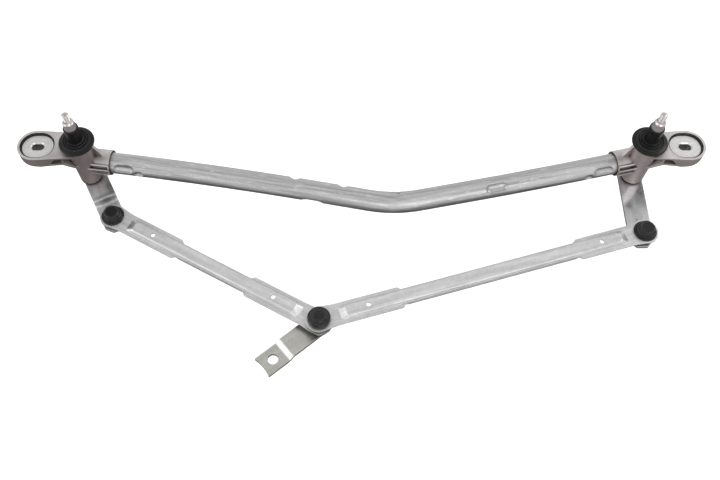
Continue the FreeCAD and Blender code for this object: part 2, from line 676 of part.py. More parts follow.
def outer_socket(side):
    """Domed plastic socket clipped into the link's end over the lever's ball."""
    plate = LINK_TOP[side]
    ball_z = plate + BALL_ABOVE_LINK
    profile = [(0, plate - 3.6), (9.6, plate - 3.6), (SKIRT_R - 0.02, plate - 2.8),
               (SKIRT_R - 0.02, plate), (CAP_R, plate),
               (CAP_R, plate + 1.2), (CAP_R - 0.7, plate + 1.9), (10.4, plate + 2.2),
               (9.7, plate + 8.0), (8.3, plate + 10.4), (0, plate + 10.6)]
    body = revolved(profile, BALL[side])
    body = body.cut(Part.makeSphere(BALL_R + SOCKET_GAP, V(BALL[side].x, BALL[side].y, ball_z)))
    mouth = [(0, plate - 4.0), (5.9, plate - 4.0), (4.6, plate - 2.2), (0, plate - 2.2)]
    return body.cut(revolved(mouth, BALL[side])).removeSplitter()


def lower_ring_socket():
    """Ring socket of the left link, open at the top so that the double stud passes through."""
    plate = LINK_TOP[LEFT]
    ball_z = plate - LOWER_BALL_DROP
    profile = [(0, plate - 6.6), (9.4, plate - 6.6), (SKIRT_R - 0.02, plate - 5.6),
               (SKIRT_R - 0.02, plate), (CAP_R, plate), (CAP_R, plate + 1.0),
               (CAP_R - 0.6, plate + 1.5), (0, plate + 1.5)]
    body = revolved(profile, CRANK_PIN)
    return body.cut(Part.makeSphere(BALL_R + SOCKET_GAP, V(CRANK_PIN.x, CRANK_PIN.y, ball_z)))


def upper_domed_socket():
    """Domed socket of the right link; its cavity leaves room around the crank's upper ball."""
    plate = LINK_TOP[RIGHT]
    ball_z = plate + BALL_ABOVE_LINK
    roof = ball_z + BALL_R + 0.35
    profile = [(OPEN_CAVITY_R, plate - 2.4), (OPEN_SKIRT_R - 0.02, plate - 2.4),
               (OPEN_SKIRT_R - 0.02, plate), (DOME_R, plate),
               (DOME_R, plate + 5.4), (DOME_R - 1.2, plate + 6.6), (9.6, plate + 7.0),
               (8.7, plate + 8.6), (7.0, plate + 10.4), (0, plate + 10.6),
               (0, roof), (8.2, roof), (OPEN_CAVITY_R, roof - 3.6)]
    return revolved(profile, CRANK_PIN)


# ---------------------------------------------------------------- motor crank
def motor_crank_arm():
    """Cranked flat bar: round head at the stud, a step down, and a concave tail."""
    length = (CRANK_PIN - MOTOR_SHAFT).Length
    low = CRANK_TOP - CRANK_STEP
    top = [(-40, low), (CRANK_RAMP[0], low), (CRANK_RAMP[1], CRANK_TOP),
           (length + 40, CRANK_TOP)]
    bar = stepped_plate(top, CRANK_T, 40.0, CRANK_BEND_R)
    outline = rounded_outline([(-CRANK_TAIL, -CRANK_HALF, 1.2), (length - 2.0, -CRANK_HALF, 30.0),
                               (length + 4.0, -CRANK_HALF - 1.6, 12.0),
                               (length + 15.5, -8.5, 9.0), (length + 15.5, 8.5, 9.0),
                               (length + 4.0, CRANK_HALF + 1.6, 12.0),
                               (length - 2.0, CRANK_HALF, 30.0), (-CRANK_TAIL, CRANK_HALF, 1.2)],
                              -120, 0)
    bar = bar.common(outline)
    hollow_x = -CRANK_TAIL - CRANK_TAIL_HOLLOW_R + CRANK_TAIL_HOLLOW
    bar = bar.cut(cylinder(CRANK_TAIL_HOLLOW_R, -120, 0, V(hollow_x, 0, 0)))
    bar = place(bar, MOTOR_SHAFT, CRANK_ANGLE)
    bar = bar.cut(cylinder(MOTOR_HOLE_R, -120, 0, MOTOR_SHAFT))
    return bar.cut(cylinder(NECK_STUD_R, -120, 0, CRANK_PIN)).removeSplitter()


def crank_ball_stud():
    lower = LINK_TOP[LEFT] - LOWER_BALL_DROP
    upper = LINK_TOP[RIGHT] + BALL_ABOVE_LINK
    return ball_stud(CRANK_PIN, CRANK_TOP, CRANK_T, [lower, upper])


# ---------------------------------------------------------------- build
os.makedirs("parts", exist_ok=True)

export(frame_tube(), "frame_tube")
for side in (LEFT, RIGHT):
    name = SIDE_NAME[side]
    export(pivot_housing(side), name + "_pivot_housing")
    export(mount_grommet(side), name + "_mount_grommet")
    export(mount_bushing(side), name + "_mount_bushing")
    export(shaft_boot(side), name + "_shaft_boot")
    export(bearing_bush(side, NECK_TOP - BUSH_LENGTH), name + "_upper_bush")
    export(bearing_bush(side, BARREL_BOTTOM + 1.0), name + "_lower_bush")
    export(wiper_shaft(side), name + "_wiper_shaft")
    export(thrust_washer(side), name + "_thrust_washer")
    export(circlip(side), name + "_circlip")
    export(o_ring(side), name + "_o_ring")
    export(lever_ball_stud(side), name + "_lever_ball_stud")
    export(placed_link(side), name + "_link_rod")
    export(outer_socket(side), name + "_outer_ball_socket")
export(left_lever(), "left_pivot_lever")
export(right_lever(), "right_pivot_lever")
export(lower_ring_socket(), "left_inner_ball_socket")
export(upper_domed_socket(), "right_inner_ball_socket")
export(motor_crank_arm(), "motor_crank_arm")
export(crank_ball_stud(), "crank_ball_stud")
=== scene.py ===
import json
import math

import bmesh
import bpy
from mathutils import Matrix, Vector


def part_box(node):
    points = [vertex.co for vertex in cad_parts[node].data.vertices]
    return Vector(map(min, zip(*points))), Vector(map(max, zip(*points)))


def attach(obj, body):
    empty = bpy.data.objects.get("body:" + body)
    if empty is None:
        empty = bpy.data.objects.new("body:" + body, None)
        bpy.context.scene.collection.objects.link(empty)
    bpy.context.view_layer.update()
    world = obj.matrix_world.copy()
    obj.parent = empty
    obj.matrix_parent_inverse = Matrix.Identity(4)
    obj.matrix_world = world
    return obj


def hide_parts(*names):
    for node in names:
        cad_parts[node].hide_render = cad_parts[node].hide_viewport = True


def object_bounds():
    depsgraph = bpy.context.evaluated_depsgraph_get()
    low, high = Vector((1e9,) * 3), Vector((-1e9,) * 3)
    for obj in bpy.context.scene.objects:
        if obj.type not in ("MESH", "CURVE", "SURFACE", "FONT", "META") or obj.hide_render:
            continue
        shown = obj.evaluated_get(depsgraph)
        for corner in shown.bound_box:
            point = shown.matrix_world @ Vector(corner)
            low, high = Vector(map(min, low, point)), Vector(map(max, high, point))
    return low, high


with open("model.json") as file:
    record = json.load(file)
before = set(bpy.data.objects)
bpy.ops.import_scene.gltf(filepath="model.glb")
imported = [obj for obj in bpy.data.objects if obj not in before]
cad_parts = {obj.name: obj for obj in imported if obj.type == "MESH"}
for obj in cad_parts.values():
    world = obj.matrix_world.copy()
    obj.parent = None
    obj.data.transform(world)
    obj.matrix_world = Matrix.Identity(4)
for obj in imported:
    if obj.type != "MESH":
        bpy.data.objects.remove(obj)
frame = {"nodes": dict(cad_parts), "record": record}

# The looks of a windshield wiper linkage. Metres, in the CAD model's own frame: X to the right,
# Y to the back and Z up. Tables written in millimetres are turned into metres by MM.

CAD_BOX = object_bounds()
NODES = frame["nodes"]
MM = 0.001
SIDES = ("left", "right")


# ---------------------------------------------------------------- places taken from the frame
def centre_of(node):
    low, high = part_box(node)
    return (low + high) / 2


def axis_of(node):
    """Centre of a turned part seen from above, at height zero."""
    middle = centre_of(node)
    return Vector((middle.x, middle.y, 0.0))


def place_of_mount(name):
    return next(Vector(m["pos_m"]) for m in frame["record"]["mounts"] if m["name"] == name)


def heading(start, end):
    """Direction from one place to another, seen from above, in radians."""
    return math.atan2(end.y - start.y, end.x - start.x)


# ---------------------------------------------------------------- material helpers
# sockets of a Mix node by number, because their names repeat: first, second, result
FLOAT_MIX = (2, 3, 0)
COLOUR_MIX = (6, 7, 2)


class Graph:
    """One material's node tree, with short calls for the nodes used here."""

    def __init__(self, name):
        self.material = bpy.data.materials.new(name)
        self.material.use_nodes = True
        self.tree = self.material.node_tree
        self.tree.nodes.clear()
        self.shader = self.add("ShaderNodeBsdfPrincipled")
        output = self.add("ShaderNodeOutputMaterial")
        self.join(self.shader.outputs["BSDF"], output.inputs["Surface"])
        self.place = self.add("ShaderNodeTexCoord").outputs["Object"]

    def add(self, kind, **settings):
        node = self.tree.nodes.new(kind)
        for key, value in settings.items():
            setattr(node, key, value)
        return node

    def join(self, source, target):
        self.tree.links.new(source, target)

    def feed(self, socket, value):
        """Links a socket to another node's output, or sets it to a plain value."""
        if isinstance(value, bpy.types.NodeSocket):
            self.join(value, socket)
        else:
            socket.default_value = value

    def stretched(self, turn, stretch):
        """Object coordinates turned to a heading, then scaled along and across it."""
        turned = self.add("ShaderNodeMapping")
        turned.inputs["Rotation"].default_value = (0.0, 0.0, -turn)
        self.join(self.place, turned.inputs["Vector"])
        scaled = self.add("ShaderNodeMapping")
        scaled.inputs["Scale"].default_value = stretch
        self.join(turned.outputs["Vector"], scaled.inputs["Vector"])
        return scaled.outputs["Vector"]

    def noise(self, scale, detail=4.0, roughness=0.55, vector=None):
        node = self.add("ShaderNodeTexNoise")
        node.inputs["Scale"].default_value = scale
        node.inputs["Detail"].default_value = detail
        node.inputs["Roughness"].default_value = roughness
        self.join(self.place if vector is None else vector, node.inputs["Vector"])
        return node.outputs["Fac"]

    def cells(self, scale):
        node = self.add("ShaderNodeTexVoronoi", feature="F1")
        node.inputs["Scale"].default_value = scale
        self.join(self.place, node.inputs["Vector"])
        return node.outputs["Distance"]

    def coordinate(self, vector, axis):
        split = self.add("ShaderNodeSeparateXYZ")
        self.join(vector, split.inputs["Vector"])
        return split.outputs[axis]

    def passing(self, value, start, end, kind="LINEAR"):
        """0 where a value is at start, 1 where it is at end."""
        node = self.add("ShaderNodeMapRange", interpolation_type=kind)
        self.join(value, node.inputs["Value"])
        node.inputs["From Min"].default_value = start
        node.inputs["From Max"].default_value = end
        return node.outputs["Result"]

    def along(self, axis, start, end):
        """0 at one coordinate of an axis of the object, 1 at another."""
        return self.passing(self.coordinate(self.place, axis), start, end)

    def ramp(self, value, stops):
        """Colour ramp; stops lists (position, grey or colour)."""
        node = self.add("ShaderNodeValToRGB")
        elements = node.color_ramp.elements
        while len(elements) < len(stops):
            elements.new(0.5)
        for element, (position, colour) in zip(elements, stops):
            element.position = position
            if isinstance(colour, (int, float)):
                colour = (colour, colour, colour)
            element.color = (*colour, 1.0)
        self.join(value, node.inputs["Fac"])
        return node.outputs["Color"]

    def blend(self, share, first, second, mode="MIX"):
        """Colour mix: first where share is 0, second where it is 1."""
        node = self.add("ShaderNodeMix", data_type="RGBA", blend_type=mode)
        self.feed(node.inputs["Factor"], share)
        for index, colour in zip(COLOUR_MIX, (first, second)):
            if not isinstance(colour, bpy.types.NodeSocket):
                colour = (*colour, 1.0)
            self.feed(node.inputs[index], colour)
        return node.outputs[COLOUR_MIX[2]]

    def maths(self, operation, first, second):
        node = self.add("ShaderNodeMath", operation=operation)
        self.feed(node.inputs[0], first)
        self.feed(node.inputs[1], second)
        return node.outputs[0]

    def scaled(self, value, low, high):
        """Maps 0..1 to low..high."""
        node = self.add("ShaderNodeMapRange")
        self.join(value, node.inputs["Value"])
        node.inputs["To Min"].default_value = low
        node.inputs["To Max"].default_value = high
        return node.outputs["Result"]

    def true_normal(self):
        return self.add("ShaderNodeNewGeometry").outputs["Normal"]

    def soft_normal(self, radius):
        """Normal with every edge rounded by a radius."""
        node = self.add("ShaderNodeBevel", samples=4)
        node.inputs["Radius"].default_value = radius
        return node.outputs["Normal"]

    def edge_mask(self, soft, start, end):
        """1 along sharp edges, from how far the rounded normal leans off the true one."""
        dot = self.add("ShaderNodeVectorMath", operation="DOT_PRODUCT")
        self.join(soft, dot.inputs[0])
        self.join(self.true_normal(), dot.inputs[1])
        return self.passing(dot.outputs["Value"], start, end)

    def facing_down(self, start, end):
        """0 where the surface leans up at least as much as start, 1 where it leans down to end."""
        return self.passing(self.coordinate(self.true_normal(), "Z"), start, end, "SMOOTHSTEP")

    def smear(self, tone, centre, turn, half_length, half_width, grey, strength):
        """Soft oval patch of another grey, seen from above; degrees and millimetres."""
        place = self.add("ShaderNodeMapping", vector_type="TEXTURE")
        place.inputs["Location"].default_value = centre
        place.inputs["Rotation"].default_value = (0.0, 0.0, math.radians(turn))
        place.inputs["Scale"].default_value = (half_length * MM, half_width * MM, 1.0)
        self.join(self.place, place.inputs["Vector"])
        spot = self.add("ShaderNodeTexGradient", gradient_type="SPHERICAL")
        self.join(place.outputs["Vector"], spot.inputs["Vector"])
        share = self.ramp(spot.outputs["Fac"], [(0.0, 0.0), (0.55, 1.0)])
        broken_up = self.ramp(self.noise(380.0, 4.0, 0.6), [(0.30, 0.55), (0.62, 1.0)])
        share = self.maths("MULTIPLY", self.maths("MULTIPLY", share, broken_up), strength)
        return self.blend(share, tone, (grey, grey, grey * 1.01))

    def hollow_mask(self, distance):
        """0 in narrow hollows, 1 in the open."""
        node = self.add("ShaderNodeAmbientOcclusion", samples=6)
        node.inputs["Distance"].default_value = distance
        return node.outputs["AO"]

    def bumps(self, height, strength, distance, normal=None):
        """Fine relief on top of another normal; distance is the relief's depth in metres."""
        node = self.add("ShaderNodeBump")
        node.inputs["Strength"].default_value = strength
        node.inputs["Distance"].default_value = distance
        self.join(height, node.inputs["Height"])
        if normal is not None:
            self.join(normal, node.inputs["Normal"])
        return node.outputs["Normal"]

    def finish(self, colour, roughness, normal, metallic=0.0, **sockets):
        """Feeds the shader; further sockets are named with underscores for their spaces."""
        self.feed(self.shader.inputs["Base Color"], colour)
        self.feed(self.shader.inputs["Roughness"], roughness)
        self.join(normal, self.shader.inputs["Normal"])
        self.shader.inputs["Metallic"].default_value = metallic
        for name, value in sockets.items():
            self.shader.inputs[name.replace("_", " ")].default_value = value
        return self.material


# ---------------------------------------------------------------- materials
def plated_steel(name, light, dark, turn, roughness=(0.30, 0.44), streaks=0.35, edge=0.0005,
                 metallic=1.0, patchy=0.5, smears=(), fold=6.0 * MM):
    """Zinc-plated sheet: rolling streaks, crystalline mottle, painted highlight on the edges,
    painted shade in hollows and on faces that look down.

    A low patchy parts the light and dark tones sharply, smears lists extra marks, and fold is the
    width of the hollows that are painted darker as shade.
    """
    g = Graph(name)
    soft = g.soft_normal(edge)
    along = g.stretched(turn, (14.0, 260.0, 260.0))
    grain = g.noise(1.0, 5.0, 0.65, along)
    long_patches = g.noise(1.0, 3.0, 0.5, g.stretched(turn, (12.0, 48.0, 48.0)))
    mottle = g.noise(620.0, 2.0)
    spots = g.ramp(g.noise(150.0, 6.0, 0.7), [(0.36, 0.0), (0.60, 1.0)])
    tone = g.blend(g.ramp(long_patches, [(0.5 - patchy, 0.0), (0.5 + patchy, 1.0)]), dark, light)
    for mark in smears:
        tone = g.smear(tone, *mark)
    tone = g.blend(streaks, tone, g.ramp(grain, [(0.30, 0.25), (0.72, 0.95)]), "OVERLAY")
    tone = g.blend(0.10, tone, g.ramp(mottle, [(0.35, 0.2), (0.65, 0.9)]), "OVERLAY")
    tone = g.blend(0.12, tone, spots, "SOFT_LIGHT")
    # painted shade: darker in narrow hollows and along folds
    hollow_shade = g.ramp(g.hollow_mask(fold), [(0.25, (0.42, 0.39, 0.38)), (0.85, (1.0, 1.0, 1.0))])
    tone = g.blend(0.80, tone, hollow_shade, "MULTIPLY")
    # painted shade, brownish: faces that look down are darker
    under = g.facing_down(0.30, -0.10)
    tone = g.blend(g.scaled(under, 0.0, 0.62), tone, (0.200, 0.155, 0.145))
    # painted highlight: edges lighter
    tone = g.blend(g.scaled(g.edge_mask(soft, 0.995, 0.86), 0.0, 0.60), tone, (0.92, 0.92, 0.92))
    rough = g.scaled(g.maths("MULTIPLY", grain, long_patches), roughness[0], roughness[1] + 0.16)
    normal = g.bumps(grain, 0.16, 0.0002, soft)
    normal = g.bumps(mottle, 0.10, 0.00008, normal)
    return g.finish(tone, rough, normal, metallic)


TUBE_BEND_X = 38.0 * MM
TUBE_BEND_HALF = 16.0 * MM                     # the two headings blend over twice this length
TUBE_HEADINGS = (-10.5, 12.0)                  # left and right of the bend, in degrees


def tube_streaks(g, detail, roughness, stretch):
    """Streaks along the bent tube: one heading to each side of its bend."""
    mix = g.add("ShaderNodeMix", data_type="FLOAT")
    share = g.along("X", TUBE_BEND_X - TUBE_BEND_HALF, TUBE_BEND_X + TUBE_BEND_HALF)
    g.join(share, mix.inputs["Factor"])
    for index, turn in zip(FLOAT_MIX, TUBE_HEADINGS):
        grain = g.noise(1.0, detail, roughness, g.stretched(math.radians(turn), stretch))
        g.join(grain, mix.inputs[index])
    return mix.outputs[FLOAT_MIX[2]]


def tube_steel():
    """Satin zinc on a drawn tube: long streaks, faint drawing lines, reddish brown painted shade on
    the underside and painted shade in narrow hollows.
    """
    g = Graph("satin_zinc_tube")
    soft = g.soft_normal(0.0006)
    streak = tube_streaks(g, 5.0, 0.6, (9.0, 420.0, 420.0))
    bands = tube_streaks(g, 3.0, 0.5, (9.0, 90.0, 90.0))
    fine = g.noise(900.0, 3.0, 0.6)
    rubs = g.ramp(tube_streaks(g, 5.0, 0.7, (70.0, 420.0, 420.0)), [(0.56, 0.0), (0.66, 1.0)])
    tone = g.blend(bands, (0.41, 0.405, 0.405), (0.53, 0.53, 0.53))
    tone = g.blend(0.42, tone, g.ramp(streak, [(0.32, 0.22), (0.70, 0.92)]), "OVERLAY")
    tone = g.blend(g.scaled(rubs, 0.0, 0.55), tone, (0.82, 0.82, 0.82))
    tone = g.blend(0.10, tone, g.ramp(fine, [(0.38, 0.15), (0.62, 0.9)]), "OVERLAY")
    # painted shade, reddish brown: faces that look down are darker
    under = g.facing_down(0.34, -0.50)
    tone = g.blend(g.scaled(under, 0.0, 0.66), tone, (0.215, 0.160, 0.150))
    # painted shade in narrow hollows, where the tube enters the collars
    hollow_shade = g.ramp(g.hollow_mask(0.005), [(0.45, (0.30, 0.27, 0.26)), (0.96, (1.0, 1.0, 1.0))])
    tone = g.blend(0.85, tone, hollow_shade, "MULTIPLY")
    rough = g.scaled(g.maths("MULTIPLY", bands, streak), 0.36, 0.80)
    normal = g.bumps(streak, 0.20, 0.0002, soft)
    normal = g.bumps(fine, 0.12, 0.00006, normal)
    return g.finish(tone, rough, normal, metallic=1.0)


def die_cast(side, shade):
    """Die-cast aluminium: pinkish grey skin, fine pebbling, flow marks, painted highlight on the
    edges, painted shade in hollows and clefts and on walls that look down.
    """
    g = Graph(side + "_die_cast_aluminium")
    soft = g.soft_normal(0.0006)
    flow = g.noise(46.0, 4.0, 0.6)
    cloud = g.noise(16.0, 3.0, 0.5)
    pebble = g.cells(1500.0)
    pores = g.ramp(g.noise(420.0, 3.0, 0.6), [(0.30, 1.0), (0.40, 0.0)])
    tone = g.blend(g.scaled(cloud, 0.1, 0.9), (0.42, 0.390, 0.388), (0.57, 0.545, 0.540))
    tone = g.blend(0.25, tone, g.ramp(flow, [(0.36, 0.25), (0.66, 0.9)]), "OVERLAY")
    tone = g.blend(g.scaled(pores, 0.0, 0.25), tone, (0.20, 0.17, 0.17))
    # painted shade in the pockets and hollows
    hollow = g.ramp(g.hollow_mask(0.010), [(0.18, (0.30, 0.22, 0.22)), (0.78, (1.0, 1.0, 1.0))])
    tone = g.blend(0.95, tone, hollow, "MULTIPLY")
    # painted shadow: near-black lines in narrow clefts, such as the collar's mouth
    cleft = g.ramp(g.hollow_mask(0.005), [(0.34, (0.03, 0.02, 0.02)), (0.66, (1.0, 1.0, 1.0))])
    tone = g.blend(0.98, tone, cleft, "MULTIPLY")
    # painted shade on the walls that look down
    under = g.facing_down(0.60, -0.15)
    tone = g.blend(g.scaled(under, 0.0, 0.80), tone, shade)
    # painted highlight: edges lighter
    tone = g.blend(g.scaled(g.edge_mask(soft, 0.99, 0.80), 0.0, 0.70), tone, (0.80, 0.77, 0.76))
    both = g.maths("ADD", g.maths("MULTIPLY", flow, 0.5), g.maths("MULTIPLY", cloud, 0.5))
    rough = g.scaled(both, 0.34, 0.66)
    normal = g.bumps(pebble, 0.14, 0.00012, soft)
    normal = g.bumps(flow, 0.18, 0.0004, normal)
    return g.finish(tone, rough, normal, metallic=0.85)


MATT_FADE = 1.5 * MM


def bright_steel(name, light, dark, roughness, matt_below=None):
    """Ground and turned steel: rings round the part, painted highlight on the crests, painted shade
    in the grooves, matt below a height.
    """
    g = Graph(name)
    soft = g.soft_normal(0.0002)
    rings = g.noise(1.0, 3.0, 0.5, g.stretched(0.0, (60.0, 60.0, 2600.0)))
    cloud = g.noise(120.0, 4.0, 0.6)
    tone = g.blend(cloud, dark, light)
    tone = g.blend(0.22, tone, g.ramp(rings, [(0.3, 0.2), (0.7, 0.95)]), "OVERLAY")
    # painted shade in the grooves
    grooves = g.ramp(g.hollow_mask(0.0012), [(0.2, (0.42, 0.40, 0.39)), (0.8, (1.0, 1.0, 1.0))])
    tone = g.blend(0.5, tone, grooves, "MULTIPLY")
    # painted highlight on the crests and edges
    tone = g.blend(g.scaled(g.edge_mask(soft, 0.99, 0.8), 0.0, 0.4), tone, (0.92, 0.91, 0.90))
    rough = g.scaled(cloud, roughness[0], roughness[1])
    if matt_below is not None:
        matt = g.along("Z", matt_below, matt_below - MATT_FADE)
        rough = g.maths("MAXIMUM", rough, g.scaled(matt, 0.0, 0.50))
    normal = g.bumps(rings, 0.10, 0.00006, soft)
    return g.finish(tone, rough, normal, metallic=1.0)


def dark_phosphate():
    """Spring steel with a dark phosphate coat, rubbed through at the edges."""
    g = Graph("phosphated_spring_steel")
    soft = g.soft_normal(0.0002)
    speck = g.noise(1400.0, 3.0, 0.6)
    cloud = g.noise(160.0, 4.0, 0.6)
    tone = g.blend(cloud, (0.060, 0.060, 0.064), (0.115, 0.112, 0.110))
    tone = g.blend(g.scaled(g.edge_mask(soft, 0.99, 0.8), 0.0, 0.5), tone, (0.34, 0.33, 0.32))
    return g.finish(tone, g.scaled(speck, 0.38, 0.62), g.bumps(speck, 0.2, 0.00005, soft), 0.8)


def moulded_rubber():
    """Black EPDM: matt bloom, fine mould texture, dust in the folds, painted highlight on the rims
    and ridges.
    """
    g = Graph("moulded_rubber")
    soft = g.soft_normal(0.0003)
    skin = g.noise(1700.0, 3.0, 0.6)
    bloom = g.noise(60.0, 5.0, 0.62)
    tone = g.blend(bloom, (0.0035, 0.0035, 0.0038), (0.0080, 0.0078, 0.0078))
    dust = g.ramp(g.hollow_mask(0.003), [(0.35, 1.0), (0.75, 0.0)])
    tone = g.blend(g.scaled(dust, 0.0, 0.06), tone, (0.10, 0.095, 0.09))
    # painted highlight on the rims and ridge tops
    tone = g.blend(g.scaled(g.edge_mask(soft, 0.99, 0.8), 0.0, 0.80), tone, (0.34, 0.34, 0.34))
    rough = g.scaled(bloom, 0.24, 0.42)
    normal = g.bumps(skin, 0.18, 0.00006, soft)
    return g.finish(tone, rough, normal, Specular_IOR_Level=0.24)


def glossy_plastic():
    """Black acetal: faint tool marks, hairline scratches and a painted highlight on the edges."""
    g = Graph("glossy_black_plastic")
    soft = g.soft_normal(0.0006)
    haze = g.noise(130.0, 4.0, 0.55)
    scratch = g.noise(1.0, 2.0, 0.5, g.stretched(0.6, (90.0, 3200.0, 900.0)))
    hair = g.ramp(scratch, [(0.66, 0.0), (0.74, 1.0)])
    tone = g.blend(haze, (0.0062, 0.0062, 0.0068), (0.0140, 0.0140, 0.0150))
    tone = g.blend(g.scaled(hair, 0.0, 0.16), tone, (0.11, 0.11, 0.11))
    # painted highlight on the edges
    tone = g.blend(g.scaled(g.edge_mask(soft, 0.995, 0.88), 0.0, 0.45), tone, (0.22, 0.22, 0.22))
    rough = g.scaled(g.maths("MAXIMUM", g.maths("MULTIPLY", haze, 0.6), hair), 0.10, 0.30)
    normal = g.bumps(g.noise(700.0, 2.0), 0.05, 0.00004, soft)
    return g.finish(tone, rough, normal, Specular_IOR_Level=0.30)


def sintered_bronze():
    """Porous bronze of the bearing bushes."""
    g = Graph("sintered_bronze")
    grains = g.cells(2600.0)
    cloud = g.noise(180.0, 4.0, 0.6)
    tone = g.blend(cloud, (0.30, 0.20, 0.11), (0.46, 0.33, 0.19))
    tone = g.blend(0.3, tone, g.ramp(grains, [(0.1, 0.3), (0.6, 0.9)]), "OVERLAY")
    return g.finish(tone, g.scaled(cloud, 0.42, 0.6), g.bumps(grains, 0.2, 0.00005), 0.9)


def white_acetal():
    """Natural acetal of the thrust washers."""
    g = Graph("white_acetal")
    haze = g.noise(240.0, 4.0, 0.6)
    tone = g.blend(haze, (0.55, 0.54, 0.50), (0.70, 0.69, 0.65))
    return g.finish(tone, g.scaled(haze, 0.32, 0.48), g.bumps(haze, 0.1, 0.00005))


def paint(node, material):
    """Gives a CAD node its material."""
    thing = NODES[node]
    thing.data.materials.clear()
    thing.data.materials.append(material)


# ---------------------------------------------------------------- mesh helpers
ON_AXIS = 1e-7                                 # a radius below this is a single point
ARC_SHARE = 0.49                               # the most of a side that an arc may take


def rounded_profile(corners, steps=5):
    """Outline in metres, rounded at each corner but the first and last.

    corners lists (radius, z, arc radius) in millimetres; an arc of 0 keeps a corner sharp, and an
    arc too large for its two sides is cut to what fits.
    """
    corners = [(r * MM, z * MM, arc * MM) for r, z, arc in corners]
    points = []
    for i, (r, z, arc) in enumerate(corners):
        here = Vector((r, z))
        if arc == 0 or i in (0, len(corners) - 1):
            points.append(here)
            continue
        before = Vector(corners[i - 1][:2]) - here
        after = Vector(corners[i + 1][:2]) - here
        half = before.angle(after) / 2
        reach = min(arc / math.tan(half), before.length * ARC_SHARE, after.length * ARC_SHARE)
        arc = reach * math.tan(half)
        inward = (before.normalized() + after.normalized()).normalized()
        middle = here + inward * (arc / math.sin(half))
        first = here + before.normalized() * reach - middle
        last = here + after.normalized() * reach - middle
        sweep = first.angle_signed(last)
        for k in range(steps + 1):
            turn = -sweep * k / steps
            cosine, sine = math.cos(turn), math.sin(turn)
            points.append(middle + Vector((first.x * cosine - first.y * sine,
                                           first.x * sine + first.y * cosine)))
    return points


def lathe(name, outline, centre, segments, radius_at=None, closed=False):
    """Solid of revolution in mesh code, from rows of (radius, z, ...).

    radius_at(angle, row) gives a row's radius at an angle where it isn't round.
    """
    verts, faces, rings = [], [], []
    for row in outline:
        radius, z = row[0], row[1]
        if radius < ON_AXIS:
            rings.append([len(verts)])
            verts.append((centre.x, centre.y, centre.z + z))
            continue
        ring = []
        for k in range(segments):
            angle = 2 * math.pi * k / segments
            here = radius_at(angle, row) if radius_at else radius
            ring.append(len(verts))
            verts.append((centre.x + here * math.cos(angle), centre.y + here * math.sin(angle),
                          centre.z + z))
        rings.append(ring)
    pairs = list(zip(rings, rings[1:]))
    if closed:
        pairs.append((rings[-1], rings[0]))
    for lower, upper in pairs:
        if len(lower) == 1 and len(upper) == 1:
            continue
        for k in range(segments):
            after = (k + 1) % segments
            if len(lower) == 1:
                faces.append((lower[0], upper[after], upper[k]))
            elif len(upper) == 1:
                faces.append((lower[k], lower[after], upper[0]))
            else:
                faces.append((lower[k], lower[after], upper[after], upper[k]))
    mesh = bpy.data.meshes.new(name)
    mesh.from_pydata(verts, [], faces)
    mesh.validate()
    shell = bmesh.new()
    shell.from_mesh(mesh)
    bmesh.ops.recalc_face_normals(shell, faces=shell.faces)
    for face in shell.faces:
        face.smooth = True
    shell.to_mesh(mesh)
    shell.free()
    thing = bpy.data.objects.new(name, mesh)
    bpy.context.scene.collection.objects.link(thing)
    return thing


def stands_for(thing, material, body, node):
    """Puts a piece made here in a CAD node's place, on that node's body."""
    thing.data.materials.append(material)
    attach(thing, body)
    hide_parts(node)


# ---------------------------------------------------------------- wiper shafts
# radius and height over the lower end, in millimetres: dimple, rivet head, neck, journal
SHAFT_FOOT = ((0.0, 0.0), (1.6, 0.0), (2.0, 0.7), (2.6, 0.7), (3.0, 0.0), (6.6, 0.0), (7.4, 0.7),
              (7.4, 1.8), (5.0, 1.8), (5.0, 5.8), (6.0, 5.8))
SHAFT_R = 6.0 * MM
THREAD_PITCH = 1.25 * MM
THREAD_DEPTH = 0.62 * MM
THREAD_TOP_R = 4.0 * MM
THREAD_LENGTH = 12.0 * MM
THREAD_SHOULDER = 2.5 * MM
THREAD_RUN_OUT = 1.2 * MM                      # the groove deepens over this length
THREAD_FLANK = 1.35                            # above 1 leaves flats on the crest and in the root
THREAD_ROWS = 110
TIP_CHAMFER = 1.0 * MM
CONE_BASE_R = 7.2 * MM
CONE_TIP_R = 6.4 * MM
CONE_LENGTH = 9.1 * MM
CONE_SHOULDER = 0.8 * MM
CONE_TIP_BREAK = (0.4 * MM, 0.3 * MM)          # across and along, above the knurl
KNURL_TEETH = 44
KNURL_DEPTH = 0.28 * MM
KNURL_FADE = (0.06, 0.10)                      # shares of the cone's length, below and above
KNURL_ROWS = 22
SEGMENTS_PER_TOOTH = 4


def shaft_outline(low, high):
    """(radius, z, kind) from the riveted foot up to the tip; kind picks the surface detail."""
    thread_low = high - THREAD_LENGTH
    cone_top = thread_low - THREAD_SHOULDER
    cone_low = cone_top - CONE_LENGTH
    rows = [(radius * MM, low + height * MM, "plain") for radius, height in SHAFT_FOOT]
    rows.append((SHAFT_R, cone_low - CONE_SHOULDER, "plain"))
    for k in range(KNURL_ROWS + 1):
        share = k / KNURL_ROWS
        radius = CONE_BASE_R + (CONE_TIP_R - CONE_BASE_R) * share
        rows.append((radius, cone_low + CONE_LENGTH * share, "knurl"))
    rows.append((CONE_TIP_R - CONE_TIP_BREAK[0], cone_top + CONE_TIP_BREAK[1], "plain"))
    for k in range(THREAD_ROWS + 1):
        rows.append((THREAD_TOP_R, thread_low + THREAD_LENGTH * k / THREAD_ROWS, "thread"))
    rows.append((0.0, high, "plain"))
    return rows


def knurl_radius(angle, radius, share):
    """V-shaped teeth that fade out at both ends of the cone; share runs from 0 to 1 up the cone."""
    fade = max(0.0, min(1.0, share / KNURL_FADE[0], (1.0 - share) / KNURL_FADE[1]))
    tooth = abs((angle * KNURL_TEETH / (2 * math.pi)) % 1.0 - 0.5) * 2
    return radius - KNURL_DEPTH * tooth * fade


